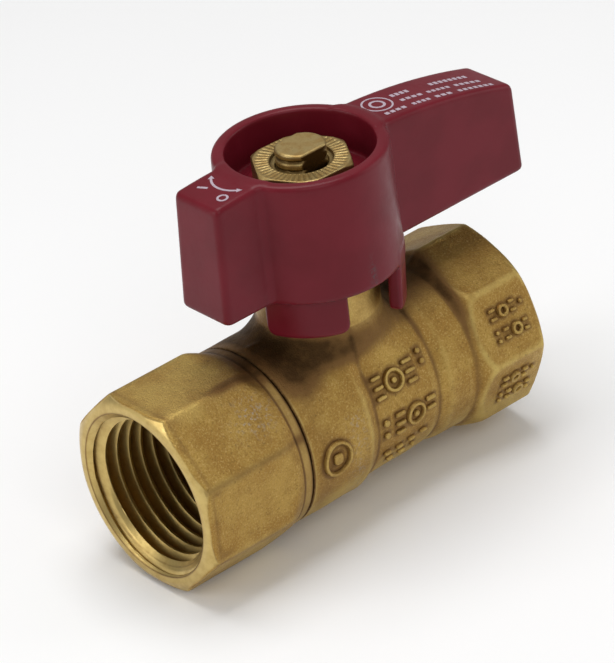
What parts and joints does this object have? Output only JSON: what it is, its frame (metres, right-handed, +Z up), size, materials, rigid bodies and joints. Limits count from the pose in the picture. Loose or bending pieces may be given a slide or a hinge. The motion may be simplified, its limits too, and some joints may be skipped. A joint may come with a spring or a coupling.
{
  "type": "quarter-turn ball valve",
  "caption": "Compact brass ball valve with threaded ends: a red lever handle turns the stem and the bored ball a quarter turn to shut off the pipe.",
  "frame": {"origin": "centre of the inlet face, on the pipe axis", "axes": "+X along the pipe from the inlet face to the outlet, +Z up along the stem towards the handle, +Y completes a right-handed frame; the valve is open at rest, with the long arm of the handle along +X"},
  "size_m": [0.0617, 0.0256, 0.0477],
  "materials": {
    "brass_forged": "sandblasted forging with machined faces",
    "brass_turned": "turned, bright",
    "ball_plating": "polished plating",
    "seat_plastic": "smooth, white",
    "o_ring_rubber": "matt",
    "handle_paint": "semi-gloss red over a die casting"
  },
  "bodies": {
    "valve_body": {"body": "brass_forged", "end_piece": "brass_forged", "body_gasket": "seat_plastic", "seat_ring_inlet": "seat_plastic", "seat_ring_outlet": "seat_plastic", "stem_thrust_washer": "seat_plastic"},
    "operator": {"stem": "brass_turned", "stem_o_ring_lower": "o_ring_rubber", "stem_o_ring_upper": "o_ring_rubber", "handle": "handle_paint", "handle_nut": "brass_turned"},
    "bored_ball": {"ball": "ball_plating"}
  },
  "joints": [
    {"name": "handle_turn", "type": "hinge", "parent": "valve_body", "child": "operator", "pos_m": [0.03, 0, 0.02], "axis": [0, 0, 1], "range_deg": [-90, 0]},
    {"name": "ball_turn", "type": "hinge", "parent": "valve_body", "child": "bored_ball", "pos_m": [0.03, 0, 0], "axis": [0, 0, 1], "range_deg": [-90, 0]}
  ],
  "couplings": [
    {"joint": "ball_turn", "follows": "handle_turn", "ratio": 1}
  ]
}
